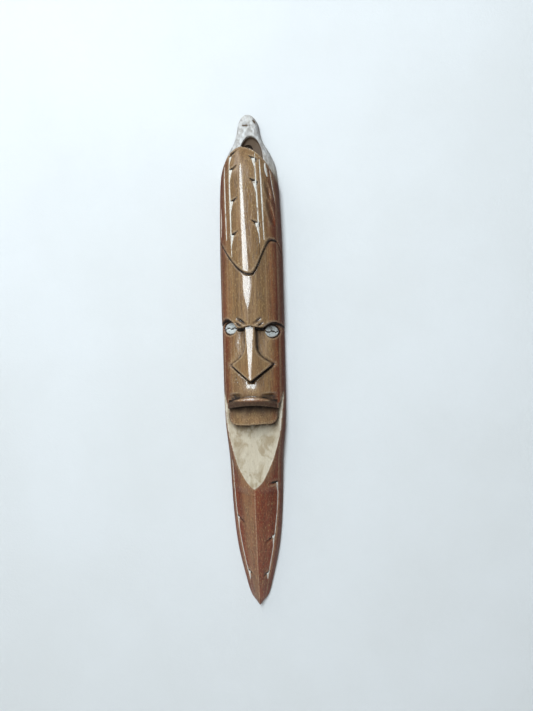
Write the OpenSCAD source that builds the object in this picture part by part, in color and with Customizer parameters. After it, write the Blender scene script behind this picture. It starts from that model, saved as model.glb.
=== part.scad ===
// Wall mask: one long billet of hardwood carved in levels, with eyes of shell bedded in
// putty and white lime rubbed into the cut lines.
// The flat back lies on the wall plane y = 0 and the face looks along -Y. +Z is up.
// Inside the modules heights are measured from the bottom tip. The finished part is
// moved down by hole_z, so its origin is the hanging hole's centre on the wall plane.

/* [Billet] */
// Height from the tip to the top of the hanging tab
mask_h = 500; // [480:1:520]
// Greatest width, at the forehead
mask_w = 64; // [60:1:70]
// Depth from the wall to the tip of the nose
mask_d = 46; // [44:0.5:50]

/* [Levels] */
// Depth of the hair above the hairline
hair_d = 44; // [42:0.5:46]
// Depth of the forehead just above the brow
forehead_d = 41.5; // [38:0.5:43]
// Depth of the cheeks beside the nose bridge
cheek_d = 28; // [26:0.5:31]
// Depth of the wood between nose and mouth
muzzle_d = 34; // [30:0.5:36]
// Depth of the upper lip
lip_d = 40; // [37:0.5:42]
// Depth of the closed mouth
mouth_d = 34; // [31:0.5:36]
// Depth of the chin flat where it meets the mouth
chin_top_d = 17; // [14:0.5:22]
// Depth of the spike's keel where the chin flat ends
keel_d = 30.5; // [28:0.5:33]
// Depth of the bare rim round the top of the hair
rim_d = 17; // [15:0.5:20]

/* [Features up the height] */
// Height at which the chin flat runs out on the keel
chin_tip_z = 123; // [115:1:130]
// Height of the bottom edge of the mouth
mouth_z = 187; // [184:1:190]
// Height of the upper lip's middle
lip_z = 211; // [209:1:213]
// Height of the nose tip
nose_tip_z = 230; // [227:1:233]
// Height of the widest part of the nose
nose_wide_z = 247; // [244:1:250]
// Height of the brow over the nose bridge
brow_z = 282; // [280:1:284]
// Height of the lowest point of the hairline
hairline_z = 334; // [330:1:340]
// Height of the hairline's side arches above its lowest point
hairline_rise = 34; // [28:1:38]
// Height of the top of the braided crest
crest_top_z = 458; // [456:0.5:458]

/* [Hanging hole] */
// Diameter of the hole for the wall hook
hole_dia = 10; // [6:0.5:10]
// Height of the hole above the tip
hole_z = 465; // [464.5:0.5:466]
// Thickness of the wood left behind the hook's recess
floor_t = 9; // [7:0.5:11]
// Half width of the arched recess in front of the hole
recess_half_w = 12; // [11.5:0.5:12.5]

/* [Eyes] */
// Distance of each eye's centre from the middle line
eye_x = 21.3; // [20:0.1:22]
// Height of the right eye's centre
eye_z = 278.5; // [277:0.5:280]
// How much higher the left eye and its brow were cut
left_eye_up = 4; // [0:0.5:5]
// Turn of each eye towards its own side
eye_turn = 36; // [30:1:42]
// Length of the cut socket, corner to corner
socket_l = 18; // [15:0.5:18]
// Greatest height of the cut socket
socket_h = 13.5; // [10:0.5:14]
// Thickness of each shell plate
shell_t = 2; // [1.5:0.1:2.5]

/* [Lime lines] */
// Depth of the cut lines
groove_d = 1.4; // [1:0.1:2]
// How far the lime lies below the wood
lime_drop = 0.3; // [0.1:0.1:0.6]
// Width of the main lime lines
line_w = 1.3; // [0.8:0.1:1.8]

/* [Hidden] */

round_n = 2.6;              // section of hair and face: higher is squarer
keel_n = 1.4;               // section of the spike: low enough to leave a keel
half_cols = 9;              // columns of the skin on each side of the middle
row_step = 8;               // height between rows of the skin, the same for every level
over = 2;                   // how far a cutter stands clear of the wood
socket_d = 6;               // depth of the eye sockets below the face
putty_t = 3;                // putty at the bottom of each socket
shell_gap = 0.5;            // half the dark line between the two shell plates
spine_low = -1.4;           // the braid's middle at the hairline, a little left
spine_lean = 0.031;         // and how far it leans left for each unit of height above
recess_x = 3.2;             // the recess was cut a little to the right of the hole
recess_rise = 11.5;         // top of the recess's arch above the hole
hair_fall = 9;              // how far the hair drops back towards its top edge
hair_fall_h = 33;           // over this height below the top
crest_rise = 1.2;           // height of the braid above the hair beside it
ledge = 0.5;                // wood left between the braid's edge and its lime line

// Half width at heights in parts of the mask's height, from the tip to the tab's top
OUTLINE = [[0, 2], [8, 8.5], [26, 14], [60, 21.5], [100, 25.5], [150, 27.5], [190, 31],
    [270, 32], [350, 32], [415, 30.5], [440, 28.5], [453, 26], [463, 21.5], [473, 15.5],
    [484, 12], [495, 9.5], [500, 4]];
OUTLINE_W = 32;             // half width and height for which OUTLINE is written
OUTLINE_H = 500;

// Depth along the middle line before any level is cut down or left standing
SPINE = [[0, 7], [26, 15.5], [60, 22], [100, 28], [chin_tip_z, keel_d], [160, muzzle_d],
    [nose_tip_z, muzzle_d], [brow_z, cheek_d], [hairline_z, cheek_d], [430, rim_d + 6],
    [460, rim_d], [500, 10]];

// ---- curves -----------------------------------------------------------------------

// Slope of a table of [height, value] rows at row i
function slope(t, i) = let(a = max(0, i - 1), b = min(len(t) - 1, i + 1))
    (t[b][1] - t[a][1]) / (t[b][0] - t[a][0]);

// Smooth curve through the rows of a table
function curve(t, z) = let(
    i = max([for (k = [0:len(t) - 2]) t[k][0] <= z ? k : 0]),
    h = t[i + 1][0] - t[i][0],
    s = (z - t[i][0]) / h)
    t[i][1] * (2 * s ^ 3 - 3 * s ^ 2 + 1) + slope(t, i) * h * (s ^ 3 - 2 * s ^ 2 + s)
    + t[i + 1][1] * (3 * s ^ 2 - 2 * s ^ 3) + slope(t, i + 1) * h * (s ^ 3 - s ^ 2);

function half_w(z) = min(1, curve(OUTLINE, z * OUTLINE_H / mask_h) / OUTLINE_W) * mask_w / 2;

// Section exponent: keeled below the chin, round above it
function section_n(z) = z < chin_tip_z ? keel_n
    : keel_n + (round_n - keel_n) * min(1, (z - chin_tip_z) / (mouth_z - chin_tip_z));

// Depth at (x, z) of a skin whose depth on the middle line is mid
function skin_d(x, z, mid) = mid * sqrt(max(0, 1 - abs(x / half_w(z)) ^ section_n(z)));

function spine_d(z) = curve(SPINE, z);
function hair_mid(z) = hair_d
    - hair_fall * max(0, 1 - (crest_top_z - z) / hair_fall_h) ^ 2;

// ---- shared shapes ------------------------------------------------------------------

// Closed solid between the wall plane and a skin, over heights z0 to z1 rounded out to whole
// rows. mid is a function that gives the depth on the middle line.
module skin(z0, z1, mid) {
    row_z = mask_h / round(mask_h / row_step);
    zs = [for (j = [floor(z0 / row_z) : ceil(z1 / row_z)]) j * row_z];
    rows = len(zs) - 1;
    cols = 2 * half_cols + 1;
    points = [for (z = zs, i = [-half_cols:half_cols])
        let(x = half_w(z) * sin(90 * i / half_cols)) [x, -skin_d(x, z, mid(z)), z]];
    front = [for (j = [0:rows - 1], i = [0:cols - 2])
        let(a = j * cols + i) each [[a, a + 1, a + cols + 1], [a, a + cols + 1, a + cols]]];
    back = [for (j = [0:rows - 1])
        let(a = j * cols, b = a + cols - 1) each [[a, a + cols, b + cols], [a, b + cols, b]]];
    bottom = [[for (i = [cols - 1:-1:0]) i]];
    top = [[for (i = [0:cols - 1]) rows * cols + i]];
    polyhedron(points, concat([for (f = concat(front, back, bottom, top)) [f[2], f[1], f[0],
        each [for (k = [len(f) - 1:-1:3]) f[k]]]]));
}

// Upright prism through the whole depth over an outline drawn in x and z
module through(outline) {
    rotate([90, 0, 0]) linear_extrude(mask_d + over) polygon(outline);
}

// Lens with pointed ends in the x-z plane, running t back from y = 0
module lens(l, h, t) {
    r = (l ^ 2 + h ^ 2) / (4 * h);
    translate([0, t, 0]) rotate([90, 0, 0]) linear_extrude(t) intersection() {
        translate([0, h / 2 - r]) circle(r, $fn = 96);
        translate([0, r - h / 2]) circle(r, $fn = 96);
    }
}

// Puts a child on the face at one eye: +X outward along the face, +Y into the wood
module at_eye(side) {
    z = eye_z + (side < 0 ? left_eye_up : 0);
    translate([side * eye_x, -skin_d(eye_x, z, spine_d(z)), z])
        mirror([side < 0 ? 1 : 0, 0, 0]) rotate([0, 0, eye_turn]) rotate([0, -4, 0]) children();
}

// Strip laid along a skin between two edge curves, from depth d0 below the skin to d1.
// rows is a list of [z, x of one edge, x of the other edge] from the top down.
module strip(rows, mid, d0, d1) {
    n = len(rows);
    points = [for (r = rows, c = [[1, d0], [2, d0], [2, d1], [1, d1]])
        let(x = r[c[0]], z = r[0]) [x, -skin_d(x, z, mid(z)) + c[1], z]];
    sides = [for (j = [0:n - 2], i = [0:3]) let(a = 4 * j + i, b = 4 * j + (i + 1) % 4)
        each [[a, b + 4, b], [a, a + 4, b + 4]]];
    polyhedron(points, concat(sides, [[0, 1, 2, 3], [for (i = [3:-1:0]) 4 * (n - 1) + i]]));
}

// ---- the levels of the carving --------------------------------------------------------

// Middle of the braid
function spine_x(z) = spine_low - spine_lean * (z - hairline_z);

// 0 below a, 1 above b, smooth in between
function smooth(a, b, t) = let(k = max(0, min(1, (t - a) / (b - a)))) k * k * (3 - 2 * k);

// Hairline: a rounded peak on the middle, with a long slope to the left side and a
// full arch on the right
function hairline(x) = hairline_z + (x < 0 ? hairline_rise * 1.06 * abs(x / 29) ^ 1.6
    : hairline_rise * smooth(3, 23, x) - 12 * smooth(27, 33, x));

// Upper edge of the hair: an arch under the hanging recess, steeper on the left
function hair_top(x) = let(t = x - spine_x(crest_top_z))
    crest_top_z - (t < 0 ? 0.045 : 0.024) * t ^ 2;

// Brow: level over the nose, raised in an arch over each eye
function brow(x) = let(up = x < 0 ? left_eye_up : 0)
    brow_z + (5.5 + up) * max(0, cos((abs(x) - 24) * 8)) * (abs(x) > 12 ? 1 : 0);

xs = [-mask_w / 2 - over : 3 : mask_w / 2 + over + 1];
xs_back = [mask_w / 2 + over + 1 : -3 : -mask_w / 2 - over];

module hair() {
    intersection() {
        skin(hairline_z - over, crest_top_z + over, function(z) hair_mid(z));
        through(concat([for (x = xs) [x, hairline(x)]], [for (x = xs_back) [x, hair_top(x)]]));
    }
}

// Raised braid down the middle of the hair, between the inner edges of its two lime lines
module crest() {
    top_x = spine_x(crest_top_z);
    intersection() {
        skin(hairline_z, crest_top_z, function(z) hair_mid(z) + crest_rise);
        through(concat([[top_x - 9, crest_top_z]], [for (r = crest_l) [r[2] + ledge, r[0]]],
            [[spine_low - 8, hairline_z + 6], [spine_low + 8, hairline_z + 6]],
            [for (k = [len(crest_r) - 1 : -1 : 0]) [crest_r[k][1] - ledge, crest_r[k][0]]],
            [[top_x + 9, crest_top_z]]));
    }
}

module forehead() {
    intersection() {
        skin(brow_z - 8, hairline_z + 46, function(z) forehead_d);
        through(concat([for (x = xs) [x, brow(x)]], [for (x = xs_back) [x, hairline(x) + over]]));
    }
}

// Kite-shaped nose: a narrow bridge that flares to the nostrils and ends in a point
module nose() {
    ridge_fall = 0.6;
    top_d = forehead_d - 1;
    roof = function(r, d) [[-r, -d], [r, -d], [mask_w / 2, -d + ridge_fall * (mask_w / 2 - r)],
        [mask_w / 2, 0], [-mask_w / 2, 0], [-mask_w / 2, -d + ridge_fall * (mask_w / 2 - r)]];
    half = [[brow_z + over, 5.5], [272, 6.2], [264, 8], [258, 11.5], [253, 16], [nose_wide_z, 21],
        [nose_tip_z, 0]];
    intersection() {
        hull() {
            translate([0, 0, brow_z + over]) linear_extrude(0.01) polygon(roof(4, top_d));
            translate([0, 0, nose_tip_z]) linear_extrude(0.01) polygon(roof(1.2, mask_d));
        }
        through(concat([for (p = half) [-p[1], p[0]]],
            [for (k = [len(half) - 2 : -1 : 0]) [half[k][1], half[k][0]]]));
    }
}

// Upper lip: a bar that arches over the mouth and wraps round both sides
module upper_lip() {
    half_l = 25.5;
    mid = function(x) lip_z - 0.008 * x ^ 2;
    thick = function(x) 3.4 - 0.002 * x ^ 2;
    intersection() {
        skin(lip_z - 16, lip_z + 8, function(z) lip_d);
        through(concat([for (x = [-half_l : 2 : half_l]) [x, mid(x) - thick(x)]],
            [for (x = [half_l : -2 : -half_l]) [x, mid(x) + thick(x)]]));
    }
}

// Closed mouth below the lip, with rounded lower corners
module mouth() {
    half_l = 24;
    corner = 8;
    intersection() {
        skin(mouth_z - over, lip_z, function(z) mouth_d);
        rotate([90, 0, 0]) linear_extrude(mask_d) hull() {
            for (s = [-1, 1]) translate([s * (half_l - corner), mouth_z + corner]) circle(corner, $fn = 32);
            translate([-half_l - 1, lip_z - 4]) square([2 * half_l + 2, 4]);
        }
    }
}

// Everything in front of the chin flat, up to the mouth and in a wedge beside it
module chin_cut() {
    lean = atan((keel_d - chin_top_d) / (mouth_z - chin_tip_z));
    strip_top_z = lip_z + 8;
    intersection() {
        translate([-mask_w, -chin_top_d, mouth_z]) rotate([-lean, 0, 0])
            translate([0, -3 * mask_d, -mask_h / 2]) cube([2 * mask_w, 3 * mask_d, mask_h]);
        union() {
            through([[-mask_w, chin_tip_z - 20], [mask_w, chin_tip_z - 20], [mask_w, lip_z - 4],
                [-mask_w, lip_z - 4]]);
            for (s = [-1, 1]) through([[s * 26, lip_z - 5], [s * mask_w, lip_z - 5],
                [s * mask_w, strip_top_z], [s * 30, strip_top_z]]);
        }
    }
}

// Arched recess that takes the wall hook's head
module hook_recess() {
    recess_top_z = hole_z + recess_rise;
    spring_z = crest_top_z - 6;
    arch = [for (a = [0:12:180])
        [recess_x + recess_half_w * cos(a), spring_z + (recess_top_z - spring_z) * sin(a)]];
    translate([0, -floor_t, 0]) through(arch);
}

module socket(side) {
    at_eye(side) translate([0, -socket_d, 0]) lens(socket_l, socket_h, 2 * socket_d);
}

// ---- rows of the lime lines: [z, inner edge x, outer edge x] ------------------------------

// Width added by the triangular chips at the heights in tops, each chip_l long
chip_l = 10;
chip_w = 3;
function chips(z, tops) = chip_w * max([0, for (t = tops) z <= t && z > t - chip_l
    ? 1 - (t - z) / chip_l : 0]);

// Line from z0 down to z1 with its outer edge at x0 to x1, bowed outward by bow in between
function line(side, z0, z1, x0, x1, bow, w, tops) = [for (k = [0:1:12])
    let(s = k / 12, z = z0 + (z1 - z0) * s, x = x0 + (x1 - x0) * s + bow * sin(180 * s))
    side > 0 ? [z, x - w * sin(15 + 150 * s) - chips(z, tops), x]
        : [z, -x, -x + w * sin(15 + 150 * s) + chips(z, tops)]];

crest_l = line(-1, 449, 350, 16, 15.2, 0.6, line_w, [451, 434, 403, 371]);
crest_r = line(1, 454, 362, 9.2, 12.4, 0.4, line_w, [444, 421, 381]);
hair_l = line(-1, 447, 367, 21.5, 20.3, 0.9, line_w, []);
hair_r = line(1, 450, 365, 13.4, 16.4, 0.9, line_w, []);
outer_l = line(-1, 402, 372, 27, 27.3, 0.2, line_w, []);
outer_r = line(1, 439, 404, 22.2, 27.2, 0.4, line_w / 2 + 0.2, []);
temple_r = line(1, 442, 427, 19, 21.3, 0.3, 2.6, []);
function spike_line(side, z0, z1, tops) = [for (k = [0:1:16])
    let(z = z0 + (z1 - z0) * k / 16, x = half_w(z) * (0.62 + 0.22 * smooth(0, chin_tip_z, z)))
    side > 0 ? [z, x - line_w * 0.8 - 0.6 * chips(z, tops), x]
        : [z, -x, -x + line_w * 0.8 + 0.6 * chips(z, tops)]];
spike_l = spike_line(-1, 152, 26, [92, 36]);
spike_r = spike_line(1, 129, 27, [127, 72, 34]);

HAIR_LINES = [crest_l, crest_r, hair_l, hair_r, outer_l, outer_r, temple_r];
SPIKE_LINES = [spike_l, spike_r];

// The skin that each kind of line follows: the raised hair, or the spike
hair_skin = function(z) hair_mid(z);
spike_skin = function(z) spine_d(z);

// ---- sub-parts --------------------------------------------------------------------------

// The carving in one piece, sized to the billet and then bored and socketed
module carved_body() color("saddlebrown") translate([0, 0, -hole_z]) difference() {
    resize([mask_w, mask_d, mask_h]) difference() {
        union() {
            difference() {
                skin(0, mask_h, function(z) spine_d(z));
                chin_cut();
                hook_recess();
            }
            hair();
            crest();
            forehead();
            nose();
            upper_lip();
            mouth();
        }
        for (rows = HAIR_LINES) strip(rows, hair_skin, groove_d, -2 * over);
        for (rows = SPIKE_LINES) strip(rows, spike_skin, groove_d, -2 * over);
        for (side = [-1, 1]) socket(side);
    }
    translate([0, over, hole_z]) rotate([90, 0, 0])
        cylinder(h = mask_d, d = hole_dia, $fn = 64);
}

// Upper or lower shell plate: half of a lens, parted from its fellow by the dark line
module shell_plate(side, up) color("gainsboro") translate([0, 0, -hole_z]) at_eye(side)
    intersection() {
        translate([0, socket_d - putty_t - shell_t + 1, 0]) lens(socket_l - 1.5, socket_h - 2, shell_t);
        translate([-socket_l, 0, up ? shell_gap : -socket_h - shell_gap])
            cube([2 * socket_l, socket_d, socket_h]);
    }

// Dark putty that fills the bottom of a socket and holds both plates
module eye_putty(side) difference() {
    color("black") translate([0, 0, -hole_z]) at_eye(side)
        translate([0, socket_d - putty_t, 0]) lens(socket_l, socket_h, putty_t);
    shell_plate(side, true);
    shell_plate(side, false);
}

// White lime in one cut line
module lime(rows, mid) color("ivory") translate([0, 0, -hole_z])
    strip(rows, mid, groove_d, lime_drop);

carved_body();
eye_putty(-1);  // eye_putty_left
eye_putty(1);  // eye_putty_right
shell_plate(-1, true);  // eye_shell_upper_left
shell_plate(1, true);  // eye_shell_upper_right
shell_plate(-1, false);  // eye_shell_lower_left
shell_plate(1, false);  // eye_shell_lower_right
lime(crest_l, hair_skin);  // crest_lime_left
lime(crest_r, hair_skin);  // crest_lime_right
lime(hair_l, hair_skin);  // hair_lime_left
lime(hair_r, hair_skin);  // hair_lime_right
lime(outer_l, hair_skin);  // outer_lime_left
lime(outer_r, hair_skin);  // outer_lime_right
lime(temple_r, hair_skin);  // temple_lime_right
lime(spike_l, spike_skin);  // spike_lime_left
lime(spike_r, spike_skin);  // spike_lime_right
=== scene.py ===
# %% [markdown]
# A tall wall mask carved from one billet of hardwood. The hair, forehead, nose, mouth and
# spike are levels of the same block, so the wood is modelled as one skin whose depth is
# worked out level by level, the way a carver sets the levels in with stop cuts. The eyes
# are shell plates bedded in dark putty, and the fine lines hold white lime.

# %% Load the fixed frame
import bmesh
import bpy
import math
import numpy as np
from mathutils import Matrix, Vector


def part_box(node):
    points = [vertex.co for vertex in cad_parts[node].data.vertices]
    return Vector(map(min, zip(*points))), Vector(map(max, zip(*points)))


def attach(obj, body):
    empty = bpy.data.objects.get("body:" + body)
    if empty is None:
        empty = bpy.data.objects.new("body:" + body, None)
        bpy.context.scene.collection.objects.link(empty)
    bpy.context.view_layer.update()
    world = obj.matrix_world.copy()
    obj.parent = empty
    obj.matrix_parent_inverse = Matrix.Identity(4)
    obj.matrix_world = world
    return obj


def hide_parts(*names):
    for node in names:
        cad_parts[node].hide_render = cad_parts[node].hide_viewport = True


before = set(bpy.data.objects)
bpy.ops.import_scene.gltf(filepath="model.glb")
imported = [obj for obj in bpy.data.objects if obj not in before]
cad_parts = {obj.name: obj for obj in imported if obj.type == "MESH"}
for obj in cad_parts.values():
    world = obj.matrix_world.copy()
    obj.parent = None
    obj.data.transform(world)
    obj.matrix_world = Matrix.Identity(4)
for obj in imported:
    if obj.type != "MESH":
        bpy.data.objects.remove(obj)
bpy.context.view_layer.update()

# %% [markdown]
# The shapes below are worked out in millimetres, with heights counted from the bottom tip,
# because that is how the block is marked out on the bench. `place` turns such a point into
# the frame's metres. The wood's own box says where the tip is and how large the block is.

# %% Units and the block's own size
MM = 0.001
wood_low, wood_high = (np.array(c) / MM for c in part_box("carved_body"))
TIP = wood_low[2]
HEIGHT = wood_high[2] - wood_low[2]
HALF_W = (wood_high[0] - wood_low[0]) / 2


def place(x, depth, z):
    """A point x across, depth out from the wall and z above the tip, in the frame."""
    return np.stack([x, -depth, z + TIP], axis=-1) * MM


print(f"block {2 * HALF_W:.0f} mm wide and {HEIGHT:.0f} mm tall, tip at {TIP:.0f} mm")

# %% [markdown]
# Three small curve helpers do all the shaping: a smooth step from one level to the next, a
# soft bump, and a smooth curve through a few heights of the outline. `waver` is a smooth
# random surface with a fixed seed, for the unevenness that a hand tool leaves.

# %% Curve helpers


def smooth(a, b, t):
    k = np.clip((t - a) / (b - a), 0, 1)
    return k * k * (3 - 2 * k)


def mix(a, b, mask):
    return a + (b - a) * mask


def bump(t, centre, reach):
    """1 at the centre, falling softly to 0 at reach on either side."""
    return smooth(reach, 0, np.abs(t - centre))


def curve(rows, z):
    """Smooth curve through rows of (height, value)."""
    heights, values = np.array(rows, float).T
    slopes = np.gradient(values, heights)
    ends = len(heights) - 1
    slopes[1:ends] = (values[2:] - values[:-2]) / (heights[2:] - heights[:-2])
    i = np.clip(np.searchsorted(heights, z, side="right") - 1, 0, ends - 1)
    h = heights[i + 1] - heights[i]
    s = (z - heights[i]) / h
    return (values[i] * (2 * s**3 - 3 * s**2 + 1) + slopes[i] * h * (s**3 - 2 * s**2 + s)
            + values[i + 1] * (3 * s**2 - 2 * s**3) + slopes[i + 1] * h * (s**3 - s**2))


def waver(x, z, across, along, seed):
    """Smooth noise from -1 to 1 with cells of the given size across and along the wood."""
    lattice = np.random.default_rng(seed).uniform(-1, 1, (257, 257))
    gx, gz = x / across + 128.0, z / along + 16.0
    ix, iz = np.floor(gx).astype(int) % 256, np.floor(gz).astype(int) % 256
    fx, fz = smooth(0, 1, gx - np.floor(gx)), smooth(0, 1, gz - np.floor(gz))
    low = mix(lattice[ix, iz], lattice[ix + 1, iz], fx)
    high = mix(lattice[ix, iz + 1], lattice[ix + 1, iz + 1], fx)
    return mix(low, high, fz)


# %% [markdown]
# The outline and the depth along the middle line come first. A billet split from a trunk is
# round in front, so each section is a rounded arch; down the spike it is pinched to a keel.
# Sculpting by hand could give the same forms, but a few curves can be changed at any time,
# and they keep the skin, the lines and the eyes in step.

# %% Outline, section and the curves that part the levels
OUTLINE = [(0, 2), (8, 8.5), (26, 14), (60, 21.5), (100, 25.5), (150, 27.5), (190, 31),
           (270, 32), (350, 32), (415, 30.5), (440, 28.5), (453, 26), (463, 21.5),
           (473, 15.5), (484, 12), (493, 10.4), (498, 7.4), (500, 4.5)]
CHIN_TIP, MOUTH_BOTTOM, LIP_MIDDLE = 123, 187, 211
NOSE_TIP, NOSE_WIDE, BROW, HAIRLINE, HAIR_TOP = 230, 247, 282, 334, 458
HOLE_HEIGHT = -TIP
CHEEK, MUZZLE, FOREHEAD, HAIR, LIP, MOUTH = 28, 34, 41.5, 44, 40, 34
NOSE_DEPTH, KEEL, CHIN_TOP, RIM, FLOOR = 46, 30.5, 17, 17, 9
SPINE = [(0, 7), (26, 15.5), (60, 22), (100, 28), (CHIN_TIP, KEEL), (160, MUZZLE),
         (NOSE_TIP, MUZZLE), (BROW, CHEEK), (HAIRLINE, CHEEK), (430, RIM + 6), (460, RIM),
         (500, 10)]
LEFT_EYE_UP = 4  # the left eye and the brow over it stand this much higher
HAIR_FALL, HAIR_FALL_START = 9, 425
BROW_RISE, BROW_ARCH_X, BROW_ARCH_TURN = 5.5, 24, 8
RECESS_X, RECESS_HALF, RECESS_RISE = 3.2, 12, 11.5
LEFT_NOSE_NARROWER = 1.07


def half_width(z):
    """Half width of the whole block at height z."""
    return np.minimum(1, curve(OUTLINE, z) / 32) * HALF_W


def arch(x, z):
    """Share of the middle depth that the rounded section has at x."""
    power = mix(1.4, 2.6, np.clip((z - CHIN_TIP) / (MOUTH_BOTTOM - CHIN_TIP), 0, 1))
    power = power + 1.8 * smooth(HAIR_TOP, 482, z)
    u = np.clip(np.abs(x) / half_width(z), 0, 1)
    return np.sqrt(np.maximum(0, 1 - u**power))


def braid_middle(z):
    """Where the ridge of the braid runs, leaning a little to the left."""
    return -1.4 - 0.031 * (z - HAIRLINE)


def hairline(x):
    """Lower edge of the hair: a point in the middle that sweeps up to both sides."""
    left = 36 * (np.abs(x) / 29) ** 1.6
    right = 34 * smooth(3, 23, x) - 12 * smooth(27, 33, x)
    return HAIRLINE + np.where(x < 0, left, right)


def hair_top(x):
    """Upper edge of the hair: an arch, steeper on the left."""
    t = x - braid_middle(HAIR_TOP)
    return HAIR_TOP - np.where(t < 0, 0.045, 0.024) * t**2


def brow(x):
    """Lower edge of the forehead: an arch over each eye, the left one higher."""
    rise = BROW_RISE + LEFT_EYE_UP * (x < 0)
    over_nose = 1.4 * bump(x, 0, 9)
    turn = np.radians((np.abs(x) - BROW_ARCH_X) * BROW_ARCH_TURN)
    return BROW + rise * np.maximum(0, np.cos(turn)) + over_nose


def hair_middle(z):
    """Depth of the hair on the middle line, falling back towards its top edge."""
    fallen = np.maximum(0, (z - HAIR_FALL_START) / (HAIR_TOP - HAIR_FALL_START))
    return HAIR - HAIR_FALL * fallen**2


# %% [markdown]
# The engraved lines are written once, as an inner and an outer edge at every height. The
# same functions cut the groove in the wood, steer the columns of its mesh along the line's
# edges, and later lay the white lime in it. The notches of the braid widen its two lines
# into small triangles, always just under a cut.

# %% The engraved lines
LINE_W, GROOVE_DEEP = 1.3, 0.9
CHIP_LONG, CHIP_WIDE = 10, 3


def chips(z, tops, wide):
    """Width that the triangular chips add at height z."""
    added = [np.where((z <= t) & (z > t - CHIP_LONG), 1 - (t - z) / CHIP_LONG, 0) for t in tops]
    return wide * np.max(added, axis=0) if tops else z * 0


def make_line(side, z0, z1, x0, x1, bow=0.0, width=LINE_W, tops=()):
    """A line from height z0 down to z1. Its outer edge runs from x0 to x1 from the middle."""
    def edges(z):
        s = np.clip((z0 - z) / (z0 - z1), 0, 1)
        outer = x0 + (x1 - x0) * s + bow * np.sin(np.pi * s)
        thick = width * np.sin(np.radians(15 + 150 * s))
        return outer - thick - chips(z, tops, CHIP_WIDE), outer
    return {"side": side, "top": z0, "bottom": z1, "edges": edges, "tops": tops}


def spike_line_edge(z):
    """Outer edge of the spike's lines, which draws in towards the tip."""
    return half_width(z) * (0.62 + 0.22 * smooth(0, CHIN_TIP, z))


def make_spike_line(side, z0, z1, tops):
    """A line that keeps to the edge of the spike."""
    def edges(z):
        outer = spike_line_edge(z)
        thick = LINE_W * 0.45 * smooth(0, 6, z0 - z) * smooth(0, 6, z - z1) + 0.12
        return outer - thick - chips(z, tops, CHIP_WIDE * 0.6), outer
    return {"side": side, "top": z0, "bottom": z1, "edges": edges, "tops": tops}


LEFT_NOTCHES, RIGHT_NOTCHES = (451, 434, 403, 371), (444, 421, 381)
LEFT_SPIKE_NOTCHES, RIGHT_SPIKE_NOTCHES = (92, 36), (127, 72, 34)
LINES = {
    "crest_lime_left": make_line(-1, 449, 350, 16, 15.2, 0.6, LINE_W, LEFT_NOTCHES),
    "crest_lime_right": make_line(1, 454, 362, 9.2, 12.4, 0.4, LINE_W, RIGHT_NOTCHES),
    "hair_lime_left": make_line(-1, 447, 367, 21.5, 20.3, 0.9),
    "hair_lime_right": make_line(1, 450, 365, 13.4, 16.4, 0.9),
    "outer_lime_left": make_line(-1, 402, 372, 27, 27.3, 0.2),
    "outer_lime_right": make_line(1, 439, 404, 22.2, 27.2, 0.4, 0.85),
    "temple_lime_right": make_line(1, 442, 427, 19, 21.3, 0.3, 2.6),
    "spike_lime_left": make_spike_line(-1, 152, 26, LEFT_SPIKE_NOTCHES),
    "spike_lime_right": make_spike_line(1, 129, 27, RIGHT_SPIKE_NOTCHES),
}
print(len(LINES), "engraved lines")

# %% [markdown]
# The eyes sit on the rounding of the face, so each has its own small frame: `along` runs
# outward along the face, `out` stands off it. The socket, putty and plates all use it.

# %% The eyes' own frames
EYE_X, EYE_Z, EYE_TURN = 21.3, 278.5, math.radians(36)
SOCKET_LONG, SOCKET_HIGH, SOCKET_DEEP = 18, 13.5, 5.0


def eye_height(side):
    """Height of an eye's middle. Side is -1 on the left and 1 on the right."""
    return EYE_Z + (LEFT_EYE_UP if side < 0 else 0)


def eye_depth(side):
    """Depth of the cheek level where the eye's middle sits."""
    z = np.array(float(eye_height(side)))
    return float(curve(SPINE, z) * arch(np.array(EYE_X), z))


def eye_points(side, along, up, out):
    """Frame points for places given along the eye, up, and out from the face."""
    x = EYE_X + along * math.cos(EYE_TURN) + out * math.sin(EYE_TURN)
    depth = eye_depth(side) - along * math.sin(EYE_TURN) + out * math.cos(EYE_TURN)
    return place(side * x, depth, eye_height(side) + up)


def lens_edge(along, long, high):
    """Half height at each place along a lens with pointed ends."""
    r = (long**2 + high**2) / (4 * high)
    return np.sqrt(np.maximum(0, r**2 - along**2)) - (r - high / 2)


print(f"eyes turned {math.degrees(EYE_TURN):.0f} degrees, {LEFT_EYE_UP} mm apart in height")

# %% [markdown]
# Now the skin. `carve` returns the wood's depth at any place on the front. It starts with
# the cheek level over the whole block and then lets each level stand or cuts it away:
# forehead, hair, hook recess, braid, nose, chin flat, mouth, lip and eye sockets, with the
# small cuts in between. It also keeps masks of where the wood was left bare, for the finish.

# %% Levels of the carving


def chin_flat(d, x, z):
    """Slanting bare flat under the mouth, with a thin strip that runs up beside it."""
    lean = (KEEL - CHIN_TOP) / (MOUTH_BOTTOM - CHIN_TIP)
    plane = CHIN_TOP + (MOUTH_BOTTOM - z) * lean + 0.35 * waver(x, z, 7, 12, 3)
    plane += 0.12 * waver(x, z, 2.2, 5, 4)
    plane += 0.9 * smooth(178, 186, z) * smooth(2, 8, x)
    top = LIP_MIDDLE - 4.5 + 13 * smooth(25.5, 31, np.abs(x))
    under = smooth(top + 0.5, top - 0.5, z)
    bare = under * smooth(-0.1, 0.3, d - plane)
    return mix(d, np.minimum(d, plane), under), bare


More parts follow.
